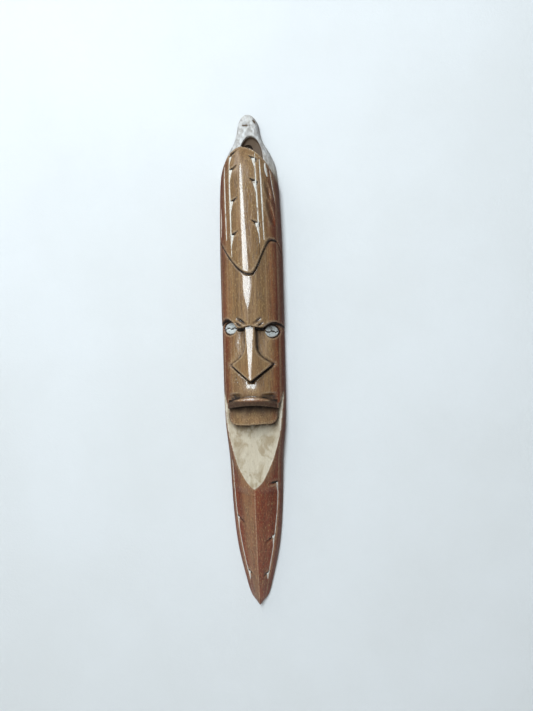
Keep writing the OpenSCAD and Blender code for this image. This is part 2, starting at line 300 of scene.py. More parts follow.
def forehead(d, x, z):
    """The forehead stands off the cheeks, with a narrow flat facet up its middle."""
    facet = 4.3 * smooth(294, 318, z)
    level = (FOREHEAD + 0.5 * bump(z, 300, 26)) * arch(x, z)
    level = level - 0.16 * np.maximum(0, np.abs(x + 0.9) - facet) * smooth(26, 14, np.abs(x))
    blend = smooth(0.84, 1.0, np.abs(x) / half_width(z)) * smooth(300, 286, z)
    standing = smooth(-0.45, 0.45, z - brow(x))
    return mix(d, mix(level, np.maximum(d, level * 0.93), blend), standing)


def hair(d, x, z):
    """The hair stands off the forehead, and the tab drops back behind its top edge."""
    level = hair_middle(z) * arch(x, z)
    standing = smooth(-0.4, 0.4, z - hairline(x))
    d = mix(d, level, standing)
    rim = curve(SPINE, z) * arch(x, z)
    above = smooth(-0.5, 0.5, z - hair_top(x))
    return mix(d, rim, above), above


def hook_recess(d, x, z, above):
    """Arched pocket in front of the hanging hole, for the head of the nail."""
    spring = HAIR_TOP - 6
    across = (x - RECESS_X) / RECESS_HALF
    reach = np.hypot(across, (z - spring) / (HOLE_HEIGHT + RECESS_RISE - spring))
    inside = above * smooth(1.04, 0.96, np.where(z > spring, reach, np.abs(across)))
    return mix(d, FLOOR, inside), inside


def braid(d, x, z):
    """Roof-shaped panel between the two inner line edges, with a flat strip on its ridge."""
    left = -LINES["crest_lime_left"]["edges"](z)[0]
    right = LINES["crest_lime_right"]["edges"](z)[0]
    middle = braid_middle(z)
    on = smooth(-0.25, 0.25, x - left) * smooth(-0.25, 0.25, right - x)
    on = on * smooth(-0.4, 0.4, z - hairline(x)) * smooth(0.5, -0.5, z - hair_top(x))
    ridge = mix(3.0, 0.5, np.clip((z - HAIRLINE) / (HAIR_TOP - HAIRLINE), 0, 1))
    fall = np.maximum(0, np.abs(x - middle) - ridge)
    return d + on * np.maximum(0.4, 2.0 - 0.15 * fall), on


def notch(d, x, z, side, edge, top):
    """Stop cut slanting in from the edge of the braid, steep above and sloped below."""
    inward = (edge - side * x) / 7.5
    tall = 4.6 * (1 - np.clip(inward, 0, 0.95))
    drop = (top + 1.6 + inward * 2.2 - z) / tall
    cut = (inward > -0.2) & (inward < 1) & (drop > 0) & (drop < 1)
    slope = smooth(0, 0.12, drop) * (1 - 0.6 * drop) * smooth(1, 0.86, drop)
    return d - cut * 3.6 * (1 - np.clip(inward, 0, 1)) ** 0.5 * slope


def scoop(d, x, z, cx, cz, wide, tall, deep, slant):
    """Hollow left by one push of a round gouge."""
    along = (z - cz) / tall
    across = (x - cx - slant * (z - cz)) / (wide * np.sqrt(np.maximum(0.05, 1 - along**2)))
    return d - deep * np.maximum(0, 1 - across**2) * np.maximum(0, 1 - along**2)


def nose_half(z):
    """Half width of the nose: a narrow bridge that flares out and runs to a point."""
    flare = np.maximum(0, z - NOSE_TIP) * 1.3
    side = 5.2 + 15.6 * np.clip((270 - z) / (270 - NOSE_WIDE), 0, 1.1) ** 3.2
    corner = 2.4
    return np.maximum(0, -corner * np.logaddexp(-flare / corner, -side / corner))


def nose(d, x, z):
    """Roof-shaped nose with a flat ridge, deepest at the point."""
    x = np.where(x < 0, x * LEFT_NOSE_NARROWER, x)
    top = mix(NOSE_DEPTH, FOREHEAD - 1.2, np.clip((z - NOSE_TIP) / (BROW - NOSE_TIP), 0, 1))
    flat = mix(1.1, 4.2, np.clip((z - NOSE_TIP) / (BROW - NOSE_TIP), 0, 1))
    roof = top - 0.6 * np.maximum(0, np.abs(x) - flat)
    on = smooth(0.45, -0.45, np.abs(x) - nose_half(z)) * smooth(0.4, -0.4, z - brow(x))
    on = on * smooth(NOSE_TIP - 0.3, NOSE_TIP + 0.5, z)
    return mix(d, np.maximum(d, roof), on), on


def mouth(d, x, z):
    """Slab of the closed mouth, with rounded lower corners, set back at the top."""
    corner = 8
    low = MOUTH_BOTTOM + 0.5 * np.sin(x / 7)
    dx = np.maximum(0, np.abs(x) - (24.2 - corner))
    dz = np.maximum(0, low + corner - z)
    inside = smooth(0.4, -0.4, np.hypot(dx, dz) - corner) * smooth(0.5, -0.5, z - LIP_MIDDLE)
    level = mix(MOUTH + 1.2, MOUTH - 3.5, smooth(low, 206, z)) * arch(x, z)
    level = level - 0.9 * smooth(low + 2.2, low, z)
    return mix(d, level, inside), inside


def upper_lip(d, x, z):
    """Rounded bar that droops towards its ends."""
    middle = LIP_MIDDLE - 0.7 - 0.008 * x**2
    thick = 4.1 - 0.002 * x**2
    t = (z - middle) / thick
    on = smooth(25.8, 25.0, np.abs(x)) * smooth(1.08, 0.92, np.abs(t))
    return mix(d, LIP * arch(x, z) - 1.1 * np.clip(t, -1, 1) ** 2 + 0.5 * t, on), on


def eye_socket(d, x, z, side):
    """Lens-shaped pocket that takes the putty and the two plates."""
    along = (side * x - EYE_X) / math.cos(EYE_TURN)
    up = z - eye_height(side)
    edge = lens_edge(along, SOCKET_LONG, SOCKET_HIGH)
    inside = (np.abs(along) < SOCKET_LONG / 2) * smooth(-0.35, 0.35, edge - np.abs(up))
    floor = eye_depth(side) - along * math.sin(EYE_TURN) - SOCKET_DEEP / math.cos(EYE_TURN)
    return mix(d, np.minimum(d, floor), inside)


# %% [markdown]
# When the levels stand, the carver goes over them once more: stop cuts along the hairline
# and the brow, notches in the braid, scoops beside it, frown creases and the hollows round
# the nose and over the lip. Each is a small dip taken off the depth at its own place.

# %% Small cuts over the levels
# A scoop is x, z, half width, half length, depth and slant; a crease is x, z, width, length.
SCOOPS = ((20.4, 414, 2.6, 9, 3.2, -0.2), (22.4, 393, 3.2, 13, 3.8, -0.2),
          (18.4, 383, 2.2, 15, 0.8, -0.05), (-25.0, 425, 1.8, 16, 0.9, 0.05))
FROWN_CREASES = ((8.0, 288.6, 2.3, 8.0), (10.5, 285.0, 1.6, 5.5))
LEFT_FROWN_DEEP, RIGHT_FROWN_DEEP = 2.8, 1.6
WORM_HOLES = ((-15.0, 232.4, 0.9), (-16.8, 229.5, 0.7), (-13.4, 229.6, 0.6), (6, 152, 0.7),
              (-10, 178, 0.8))


def small_cuts(d, x, z, braid_on):
    """Cuts in the hair and the forehead."""
    ax = np.abs(x)
    d = d - 1.7 * bump(z, hairline(x) - 1.0, 1.6) * smooth(33, 31, ax)
    d = d - 2.0 * bump(z, brow(x) - 1.4, 2.2)
    for top in LEFT_NOTCHES:
        d = notch(d, x, z, -1, 14.6, top)
    for top in RIGHT_NOTCHES:
        d = notch(d, x, z, 1, 9.8 + (444 - top) * 0.025, top)
    off_braid = 1 - braid_on
    for cx, cz, wide, tall, deep, slant in SCOOPS:
        d = scoop(d, x, z, cx, cz, wide, tall, deep * off_braid, slant)
    for side, deep in ((-1, LEFT_FROWN_DEEP), (1, RIGHT_FROWN_DEEP)):
        for cx, cz, wide, tall in FROWN_CREASES:
            across = (z - cz) * 0.79 - (side * x - cx) * 0.61
            along = (side * x - cx) * 0.79 + (z - cz) * 0.61
            d = d - deep * bump(across, 0, wide) * bump(along, 0, tall)
    return d


def face_cuts(d, x, z):
    """Hollows round the nose and over the lip, and a few worm holes."""
    ax = np.where(x < 0, np.abs(x) * LEFT_NOSE_NARROWER, x)
    edge = ax - nose_half(z)
    low = smooth(NOSE_WIDE + 2, NOSE_WIDE - 1, z) * smooth(NOSE_TIP - 3, NOSE_TIP, z)
    d = d - 2.4 * bump(edge, 1.5, 3.0) * low
    d = d - 1.0 * bump(ax, 11, 9) * bump(z, 266, 26) * (edge > 0)
    hollow = bump(ax, 17.5, 10.5) * smooth(LIP_MIDDLE + 8, LIP_MIDDLE + 4, z)
    d = d - 4.5 * hollow * smooth(LIP_MIDDLE - 6, LIP_MIDDLE - 1, z)
    d = d + 0.8 * bump(z, 221, 10) * bump(ax, 0, 20)
    for px, pz, size in WORM_HOLES:
        d = d - 1.2 * bump(np.hypot(x - px, z - pz), 0, size)
    return d


def spike_cuts(d, x, z):
    """Slanting cuts that start at the spike's lines. Those near the tip are shorter."""
    for side, tops in ((-1, LEFT_SPIKE_NOTCHES), (1, RIGHT_SPIKE_NOTCHES)):
        for top in tops:
            edge = spike_line_edge(z) - 0.9
            inward = (edge - side * x) / (9 if top > 60 else 5)
            slant = -0.5 if top > CHIN_TIP else 6 if top > 60 else 3
            across = z - (top + 0.8 - inward * slant)
            d = d - 2.6 * bump(across, 0, 1.3) * smooth(1, 0.2, inward) * smooth(-0.25, 0, inward)
    return d


def keel_crease(x, z):
    """What the two flat facets of the spike take off on either side of the keel."""
    return 0.2 * np.minimum(np.abs(x), 9) * smooth(CHIN_TIP + 2, CHIN_TIP - 6, z)


def grooves(d, x, z):
    """Cuts each engraved line nearly a millimetre deep, with steep sides."""
    for line in LINES.values():
        inner, outer = line["edges"](z)
        sx = line["side"] * x
        on = (sx > inner - 0.02) & (sx < outer + 0.02) & (z < line["top"]) & (z > line["bottom"])
        d = d - GROOVE_DEEP * on * smooth(0, 0.4, np.minimum(sx - inner, outer - sx) + 0.02)
    return d


def carve(x, z):
    """Depth of the wood in front of the wall, and the masks that the finish needs."""
    d = curve(SPINE, z) * arch(x, z)
    d = forehead(d, x, z)
    d, bare_top = hair(d, x, z)
    d, recess = hook_recess(d, x, z, bare_top)
    d, braid_on = braid(d, x, z)
    before = d
    d = small_cuts(d, x, z, braid_on)
    # The depth taken off by stop cuts, notches and creases is kept so that shade can be painted
    # into them.
    stop_cuts = np.clip((before - d - 0.3) * 1.1, 0, 1) * np.maximum(braid_on, z < HAIRLINE + 35)
    d, nose_on = nose(d, x, z)
    d = mix(face_cuts(d, x, z), d, nose_on * smooth(-0.5, 0.5, z - NOSE_TIP))
    d, bare_chin = chin_flat(d, x, z)
    d, mouth_on = mouth(d, x, z)
    d, lip_on = upper_lip(d, x, z)
    for side in (-1, 1):
        d = eye_socket(d, x, z, side)
    d = d - np.minimum(keel_crease(x, z), 0.3 * d)
    before = d
    d = spike_cuts(d, x, z)
    cut_depth = before - d + stop_cuts
    d = grooves(d, x, z)
    worked = 0.13 * waver(x, z, 5, 12, 1) + 0.05 * waver(x, z, 2, 4, 2)
    worked = worked * (1 - 0.75 * smooth(6, 3, np.abs(x - braid_middle(z))) * (z > NOSE_TIP))
    d = d + worked * smooth(0.02, 0.3, arch(x, z)) * (1 - recess)
    bare_chin = bare_chin * (1 - mouth_on) * (1 - lip_on)
    masks = {"bare": np.maximum(bare_chin, bare_top * (1 - recess)), "recess": recess,
             "tab": smooth(HAIR_TOP - 34, HAIR_TOP + 6, z), "mouth": mouth_on, "lip": lip_on,
             "cut": np.clip(cut_depth, 0, 1)}
    return np.maximum(d, 0), masks


print("small cuts:", len(SCOOPS), "scoops and", len(WORM_HOLES), "worm holes")

# %% [markdown]
# The mesh is one grid of rows and columns. The columns bunch along the engraved lines, so
# a groove a millimetre wide still has clean edges, and the rows are closest on the face.

# %% Rows and columns of the skin
ROW_BANDS = ((0, 20, 1.0), (20, 110, 1.4), (110, 180, 1.1), (180, 300, 0.55),
             (300, 330, 1.2), (330, 476, 0.7), (476, 500, 0.8))
COLUMNS = (9, 2, 10, 2, 10, 4, 29, 29, 4, 9, 2, 15, 2, 10)


def row_heights():
    rows = [np.arange(low, high, step) for low, high, step in ROW_BANDS]
    return np.append(np.concatenate(rows), HEIGHT)


def column_places(z):
    """Places from -1 to 1 across the block where each band of columns ends, at height z."""
    w = half_width(np.array(z))
    top = max(z, HAIRLINE)
    hair_x = []
    for name in ("outer_lime_left", "hair_lime_left", "crest_lime_left"):
        inner, outer = LINES[name]["edges"](np.array(float(top)))
        hair_x += [-outer, -inner]
    hair_x += [braid_middle(top)]
    for name in ("crest_lime_right", "hair_lime_right", "outer_lime_right"):
        inner, outer = LINES[name]["edges"](np.array(float(top)))
        hair_x += [inner, outer]
    hair_u = np.array(hair_x) / max(float(half_width(np.array(top))), 29)
    height = np.array(float(z))
    right_inner, right_outer = (float(e / w) for e in LINES["spike_lime_right"]["edges"](height))
    left_inner, left_outer = (float(e / w) for e in LINES["spike_lime_left"]["edges"](height))
    spike_u = np.array([-left_outer, -left_inner, -0.6, -0.56, -0.42, -0.38, 0, 0.34, 0.38, 0.5,
                        0.54, right_inner, right_outer])
    u = mix(spike_u, hair_u, smooth(165, 330, z))
    return np.concatenate([[-1], u, [1]])


def skin_grid():
    rows = row_heights()
    xs = []
    for z in rows:
        ends = np.arcsin(np.clip(column_places(z), -1, 1))
        angles = [np.linspace(a, b, n, endpoint=False) for a, b, n in zip(ends, ends[1:], COLUMNS)]
        angles = np.append(np.concatenate(angles), math.pi / 2)
        xs.append(half_width(np.array(z)) * np.sin(angles))
    return np.array(xs), np.repeat(rows[:, None], len(xs[0]), axis=1)


X, Z = skin_grid()
D, masks = carve(X, Z)
print(f"skin of {X.shape[0]} rows by {X.shape[1]} columns, deepest {D.max():.1f} mm")

# %% [markdown]
# Dirt gathers in the low places of a carving and varnish wears off the high ones. Both can
# be read from the skin itself: compare each point's depth with the average around it. The
# low places also get painted shade, and painted shadows are laid under the nose, over the
# lip and under the mouth; a few high places get painted highlights. The result is stored
# on the mesh as attributes, next to the masks of the bare wood.

# %% Low and high places


def blurred(values, reach):
    """Average of each point's neighbours, up to reach rows and columns away."""
    padded = np.pad(values, reach, mode="edge")
    window = 2 * reach + 1
    total = np.cumsum(np.cumsum(padded, axis=0), axis=1)
    total = np.pad(total, ((1, 0), (1, 0)))
    rows, cols = values.shape
    area = (total[window:, window:] - total[:-window, window:]
            - total[window:, :-window] + total[:-window, :-window])
    return area[:rows, :cols] / window**2


inner_part = smooth(0.06, 0.3, arch(X, Z))
relief = (D - blurred(D, 3)) * inner_part
wide_relief = (D - blurred(D, 9)) * inner_part
# Painted shadow under the nose's lower edges.
shadow_under_nose = bump(np.abs(X) - nose_half(Z), 0.9, 2.6) * (Z < NOSE_WIDE) * (Z > NOSE_TIP - 3)
# Painted shade in the hollows over the ends of the lip.
shade_over_lip = bump(np.abs(X), 17.5, 10) * bump(Z, LIP_MIDDLE + 3, 4)
# Painted highlights below the nose and beside its wings.
wing_side = bump(np.abs(X) - nose_half(Z), 4.5, 4) * bump(Z, 252, 13)
highlight_round_nose = np.maximum(bump(Z, 222, 11) * bump(np.abs(X), 0, 20), wing_side)
highlight_round_nose = highlight_round_nose * smooth(BROW - 12, BROW - 20, Z) * smooth(LIP_MIDDLE, 215, Z)
keel_highlight = smooth(0.8, 0.2, np.abs(X)) * smooth(CHIN_TIP, CHIN_TIP - 6, Z) * smooth(4, 12, Z)
bare_tab = masks["tab"] * masks["bare"]
# Darker in hollows than around them: partly dirt, partly painted shade.
hollow_dirt_and_shade = np.clip(-relief * 0.6 - 0.05, 0, 1) * 0.6 + np.clip(-wide_relief * 0.2, 0, 1) * 0.4
# Painted shadow on the top of the chin flat, under the mouth slab.
shadow_under_mouth = masks["bare"] * smooth(179, 187, Z) * smooth(26, 22, np.abs(X))
bark_spot = bump(np.hypot((X - 6.5) / 2.6, (Z - 493) / 4.5), 0, 1)
tab_crack = bump(Z, 488.5, 1.6) * smooth(5.5, 3.5, np.abs(X + 2))
# The low places: dirt and painted shade in hollows, painted shade in the cuts, painted shadows on
# the mouth's top, under the mouth and under the nose, and painted shade over the lip. The bark
# spot and crack are real marks.
low = (hollow_dirt_and_shade * (1 - 0.85 * bare_tab) + 0.8 * masks["cut"]
       + 0.7 * masks["mouth"] * smooth(197, 206, Z) + 0.6 * shadow_under_mouth + 0.9 * bark_spot
       + 0.5 * tab_crack + 0.75 * shadow_under_nose + 0.85 * shade_over_lip * (1 - masks["lip"]))
attributes = {
    "low": low * (1 - 0.7 * masks["lip"]),
    # The high places: worn varnish on ridges, plus painted highlights on the spike's keel and
    # round the nose.
    "high": np.clip(relief * 1.6 - 0.1 + 1.2 * keel_highlight + 0.55 * highlight_round_nose, 0, 1),
    "bare": masks["bare"],
    "recess": masks["recess"],
    "tab": masks["tab"],
    # Painted shadow under the upper lip: the slab's darkening grows towards its top.
    "mouth": masks["mouth"] * mix(0.15, 1.0, smooth(191, 204, Z)),
}
print("stored on the skin:", {name: round(float(v.mean()), 3) for name, v in attributes.items()})

# %% [markdown]
# The grid becomes the front of a closed mesh. The back is a flat sheet against the wall
# that shares the front's side edges, and the two ends are capped. Giving the faces one by one,
# always anticlockwise as seen from outside, keeps every normal pointing outwards.

# %% The wood as one closed mesh
BACK_COLUMNS = 8


def link(piece):
    bpy.context.scene.collection.objects.link(piece)
    return piece


def mesh_piece(name, verts, faces):
    mesh = bpy.data.meshes.new(name)
    mesh.from_pydata(np.asarray(verts).tolist(), [], faces)
    mesh.update()
    return link(bpy.data.objects.new(name, mesh))


def grid_faces(index):
    """Quads between neighbouring rows and columns of a table of vertex numbers."""
    a, b, c, d = index[:-1, :-1], index[:-1, 1:], index[1:, 1:], index[1:, :-1]
    return np.stack([a, b, c, d], axis=-1).reshape(-1, 4).tolist()


def set_attribute(mesh, name, values):
    layer = mesh.attributes.new(name, "FLOAT", "POINT")
    layer.data.foreach_set("value", np.asarray(values, np.float32))


rows, cols = X.shape
front = np.arange(rows * cols).reshape(rows, cols)
shares = np.linspace(-1, 1, BACK_COLUMNS + 1)[1:-1]
back_x = half_width(Z[:, :1]) * shares
inner_back = rows * cols + np.arange(back_x.size).reshape(back_x.shape)
back = np.hstack([front[:, :1], inner_back, front[:, -1:]])
back_points = place(back_x, np.zeros_like(back_x), Z[:, :BACK_COLUMNS - 1])
points = np.concatenate([place(X, D, Z).reshape(-1, 3), back_points.reshape(-1, 3)])
caps = [list(front[0, ::-1]) + list(back[0, 1:-1]), list(front[-1]) + list(back[-1, -2:0:-1])]
caps = [[int(i) for i in cap] for cap in caps]
wood = mesh_piece("carved_wood", points, grid_faces(front) + grid_faces(back[:, ::-1]) + caps)
top_end = smooth(HEIGHT - 3, HEIGHT, np.repeat(Z[:, 0], BACK_COLUMNS - 1))
for name, values in attributes.items():
    behind = top_end if name in ("bare", "tab") else top_end * 0
    set_attribute(wood.data, name, np.append(values.ravel(), behind))
# Redder and darker towards the sides: partly the varnish's tone, partly painted shade and painted
# red reflected light; on the spike, facets painted lighter or darker for the light from the left.
side_red_and_shade = 1.15 * smooth(0.45, 1.0, np.abs(X) / half_width(Z))
facet = X / np.maximum(half_width(Z), 1)
spike_red_and_facet_shade = mix(mix(0.75, 0.42, smooth(-0.6, -0.35, facet)), 0.85, smooth(-0.1, 0.04, facet))
side_red_and_shade += smooth(CHIN_TIP + 30, CHIN_TIP - 5, Z) * spike_red_and_facet_shade
side_red_and_shade += 0.45 * masks["lip"]
set_attribute(wood.data, "side", np.append(side_red_and_shade.ravel(), np.ones(back_x.size)))
set_attribute(wood.data, "rear", np.append(smooth(3, 0.5, D).ravel(), 1 - top_end))
wood.data.shade_smooth()
print(len(wood.data.polygons), "faces in the carved wood")

# %% [markdown]
# The hanging hole goes right through the thin tab. It is bored after the carving, as it is
# on the bench: a closed cylinder is taken away by a Boolean modifier, which is applied so
# that nothing live is left on the piece.

# %% Bore the hanging hole
HOLE_R = 5


def new_cylinder(name, radius, y0, y1, sides=48):
    turns = np.linspace(0, 2 * math.pi, sides, endpoint=False)
    ring = [np.stack([radius * np.cos(turns), np.full(sides, y), radius * np.sin(turns)], -1)
            for y in (y0, y1)]
    quads = [[i, (i + 1) % sides, (i + 1) % sides + sides, i + sides] for i in range(sides)]
    ends = [list(range(sides))[::-1], [i + sides for i in range(sides)]]
    return mesh_piece(name, np.concatenate(ring) * MM, quads + ends)


def evaluated_mesh(piece):
    """The piece's mesh with its modifiers taken in, and the modifiers removed."""
    shape = piece.evaluated_get(bpy.context.evaluated_depsgraph_get())
    mesh = bpy.data.meshes.new_from_object(shape, preserve_all_data_layers=True,
                                           depsgraph=bpy.context.evaluated_depsgraph_get())
    piece.modifiers.clear()
    return mesh


drill = new_cylinder("drill", HOLE_R, 5, -FLOOR - 12)
bore = wood.modifiers.new("bore", "BOOLEAN")
bore.operation, bore.solver, bore.object = "DIFFERENCE", "EXACT", drill
wood.data = evaluated_mesh(wood)
wood.data.name = "carved_wood"
bpy.data.objects.remove(drill)
where = np.array([v.co for v in wood.data.vertices]) / MM
in_bore = np.hypot(where[:, 0], where[:, 2]) < HOLE_R + 0.15
# The bore's walls take the recess colour: painted shade for the dark inside of the hole.
for name, value in (("recess", 1.0), ("rear", 0.0), ("bare", 0.0)):
    values = np.zeros(len(where), np.float32)
    wood.data.attributes[name].data.foreach_get("value", values)
    values[in_bore] = value
    wood.data.attributes[name].data.foreach_set("value", values)
print(len(wood.data.polygons), "faces after boring")

# %% [markdown]
# White lime fills the engraved lines. A line is a path with a width at every point, which
# is what Curve to Mesh is made for: the tree below turns the path's points into a curve,
# scales a flat oval profile by each point's own radius, and closes the ends. The
# same tree lays all nine lines, each with its own path.

# %% A Geometry Nodes tree that lays lime along a path


def geometry_tree(name, inputs):
    tree = bpy.data.node_groups.new(name, "GeometryNodeTree")
    tree.interface.new_socket("Geometry", in_out="INPUT", socket_type="NodeSocketGeometry")
    for label, kind, value in inputs:
        socket = tree.interface.new_socket(label, in_out="INPUT", socket_type=kind)
        if value is not None:
            socket.default_value = value
    tree.interface.new_socket("Geometry", in_out="OUTPUT", socket_type="NodeSocketGeometry")
    return tree, tree.nodes.new("NodeGroupInput"), tree.nodes.new("NodeGroupOutput")


def lime_tree():
    tree, source, result = geometry_tree("lime_along_path", (
        ("Material", "NodeSocketMaterial", None),
        ("Thickness", "NodeSocketFloat", 0.35),
        ("Profile Points", "NodeSocketInt", 8)))
    node, join = tree.nodes.new, tree.links.new
    to_curve = node("GeometryNodeMeshToCurve")
    radius = node("GeometryNodeInputNamedAttribute")
    radius.data_type = "FLOAT"
    radius.inputs["Name"].default_value = "half_width"
    normal = node("GeometryNodeInputNamedAttribute")
    normal.data_type = "FLOAT_VECTOR"
    normal.inputs["Name"].default_value = "out"
    set_radius = node("GeometryNodeSetCurveRadius")
    set_normal = node("GeometryNodeSetCurveNormal")
    set_normal.mode = "FREE"
    profile = node("GeometryNodeCurvePrimitiveCircle")
    profile.inputs["Radius"].default_value = 1.0
    flatten = node("GeometryNodeTransform")
    size = node("ShaderNodeCombineXYZ")
    size.inputs["Y"].default_value = 1.0
    size.inputs["Z"].default_value = 1.0
    sweep = node("GeometryNodeCurveToMesh")
    sweep.inputs["Fill Caps"].default_value = True
    real = node("GeometryNodeRealizeInstances")
    paint = node("GeometryNodeSetMaterial")
    join(source.outputs["Geometry"], to_curve.inputs["Mesh"])
    join(to_curve.outputs["Curve"], set_radius.inputs["Curve"])
    join(radius.outputs["Attribute"], set_radius.inputs["Radius"])
    join(set_radius.outputs["Curve"], set_normal.inputs["Curve"])
    join(normal.outputs["Attribute"], set_normal.inputs["Normal"])
    join(source.outputs["Profile Points"], profile.inputs["Resolution"])
    join(profile.outputs["Curve"], flatten.inputs["Geometry"])
    join(source.outputs["Thickness"], size.inputs["X"])
    join(size.outputs["Vector"], flatten.inputs["Scale"])
    join(set_normal.outputs["Curve"], sweep.inputs["Curve"])
    join(flatten.outputs["Geometry"], sweep.inputs["Profile Curve"])
    join(radius.outputs["Attribute"], sweep.inputs["Scale"])
    join(sweep.outputs["Mesh"], real.inputs["Geometry"])
    join(real.outputs["Geometry"], paint.inputs["Geometry"])
    join(source.outputs["Material"], paint.inputs["Material"])
    join(paint.outputs["Geometry"], result.inputs["Geometry"])
    return tree


LIME_TREE = lime_tree()
print("lime tree with", len(LIME_TREE.nodes), "nodes")

# %% [markdown]
# Each path follows its groove from top to bottom, a hair below the wood's surface. The lime
# was pressed in by hand, so its width wavers a little.

# %% Lay the lime in the nine lines
LIME_DROP, LIME_THICK, LIME_STEP = 0.05, 0.25, 0.9


def modifier_input(piece, modifier, label, value):
    for item in modifier.node_group.interface.items_tree:
        if item.item_type == "SOCKET" and item.in_out == "INPUT" and item.name == label:
            modifier[item.identifier] = value


def plain_skin(x, z):
    """The wood's level before the engraving: the hair above, the pinched spike below."""
    spike = curve(SPINE, z) * arch(x, z) - keel_crease(x, z)
    return np.where(z > HAIRLINE, hair_middle(z) * arch(x, z), spike)


def lime_path(line, seed):
    z = np.arange(line["top"] - 0.4, line["bottom"] + 0.4, -LIME_STEP)
    inner, outer = line["edges"](z)
    middle = line["side"] * (inner + outer) / 2
    kept = (z < HAIRLINE) | (z < hair_top(middle) - 1.2)
    z, inner, outer, middle = z[kept], inner[kept], outer[kept], middle[kept]
    slope = plain_skin(middle + 0.5, z) - plain_skin(middle - 0.5, z)
    lean = np.sqrt(1 + slope**2)
    uneven = 1 + 0.14 * waver(z, z * 0, 2.5, 1, seed)
    half = np.maximum(0.12, (outer - inner) / 2 * uneven * np.minimum(lean, 1.5))
    level = plain_skin(middle, z) - (LIME_DROP + LIME_THICK * half) * lean
    out = np.stack([-slope, -np.ones_like(z), z * 0], axis=-1) / lean[:, None]
    return place(middle, level, z), half * MM, out


def lay_lime(name, line, material, seed):
    path, half, out = lime_path(line, seed)
    mesh = bpy.data.meshes.new(name)
    edges = [(i, i + 1) for i in range(len(path) - 1)]
    mesh.from_pydata(path.tolist(), edges, [])
    set_attribute(mesh, "half_width", half)
    layer = mesh.attributes.new("out", "FLOAT_VECTOR", "POINT")
    layer.data.foreach_set("vector", out.astype(np.float32).ravel())
    piece = link(bpy.data.objects.new(name + "_fill", mesh))
    modifier = piece.modifiers.new("lime", "NODES")
    modifier.node_group = LIME_TREE
    modifier_input(piece, modifier, "Material", material)
    modifier_input(piece, modifier, "Thickness", LIME_THICK)
    modifier_input(piece, modifier, "Profile Points", 10)
    piece.data = evaluated_mesh(piece)
    piece.data.shade_smooth()
    return piece


lime_material = bpy.data.materials.new("white_lime")
lime_pieces = {}
for seed, (name, line) in enumerate(LINES.items(), 40):
    lime_pieces[name] = lay_lime(name, line, lime_material, seed)
    box = np.array([v.co for v in lime_pieces[name].data.vertices])
    print(name, len(box), "points,", (np.ptp(box, axis=0) / MM).round(1), "mm")

# %% [markdown]
# Each eye is two plates of shell, an upper and a lower one, that meet along a wavy cut.
# They are slightly domed, ground thin at the rim and bedded in dark putty, which fills the
# rest of the socket. A plate is two matching grids, front and back, sewn together round
# their border.

# %% A closed plate from two matching grids


def sew_plate(name, front_grid, back_grid):
    n, m = front_grid.shape[:2]
    index = np.arange(n * m).reshape(n, m)
    rim = np.concatenate([index[0, :-1], index[:-1, -1], index[-1, :0:-1], index[:0:-1, 0]])
    after = np.roll(rim, -1)
    faces = grid_faces(index) + [f[::-1] for f in grid_faces(index + n * m)]
    faces += [[int(b), int(a), int(a + n * m), int(b + n * m)] for a, b in zip(rim, after)]
    piece = mesh_piece(name, np.concatenate([front_grid.reshape(-1, 3),
                                             back_grid.reshape(-1, 3)]), faces)
    face_outwards(piece.data)
    piece.data.shade_smooth()
    return piece


def face_outwards(mesh):
    shape = bmesh.new()
    shape.from_mesh(mesh)
    bmesh.ops.remove_doubles(shape, verts=shape.verts, dist=1e-6)
    bmesh.ops.recalc_face_normals(shape, faces=shape.faces)
    shape.to_mesh(mesh)
    shape.free()


# %% Shell plates and their putty
PLATE_LONG, PLATE_HIGH, PLATE_OUT, PLATE_THICK, PLATE_GAP = 16.5, 11.5, -1.6, 2.2, 1.5
PUTTY_FACE, PUTTY_BACK = -2.5, -5.0
ALONG, ACROSS = 49, 13


def cut_line(along, side):
    """The wavy edge where the two plates meet."""
    return 0.7 * np.sin(along * 0.75 + side) + 0.35 * np.sin(along * 1.9 + 2 * side) - 0.2


def shell_plate(name, side, upper):
    """Upper or lower plate of one eye, with its near edge along the wavy cut."""
    along = np.linspace(-0.999, 0.999, ALONG)[:, None] * PLATE_LONG / 2
    edge = lens_edge(along, PLATE_LONG, PLATE_HIGH)
    chipped = 0.12 * waver(along, along * 0, 0.8, 1, 60 + side + 2 * upper)
    split = np.clip(cut_line(along, side), -edge, edge)
    near = split + PLATE_GAP / 2 if upper else split - PLATE_GAP / 2
    far = (edge + chipped) * (1 if upper else -1)
    near = np.clip(near, np.minimum(far, -edge), np.maximum(far, edge))
    share = np.linspace(0, 1, ACROSS)[None, :]
    up = near + (far - near) * share
    from_rim = np.minimum(share, 1 - share) * np.abs(far - near)
    dome = 0.9 * (1 - (along / (PLATE_LONG / 2)) ** 2) * (1 - (up / (PLATE_HIGH / 2)) ** 2)
    face = PLATE_OUT + dome - 0.45 * smooth(0.7, 0, from_rim)
    face = face + 0.07 * waver(along + 0 * up, up, 1.4, 1.1, 70 + side + 2 * upper)
    grid = np.broadcast_arrays(along, up, face)
    front_grid = eye_points(side, *grid)
    back_grid = eye_points(side, grid[0], grid[1], grid[2] * 0 + PLATE_OUT - PLATE_THICK)
    return sew_plate(name, front_grid, back_grid)


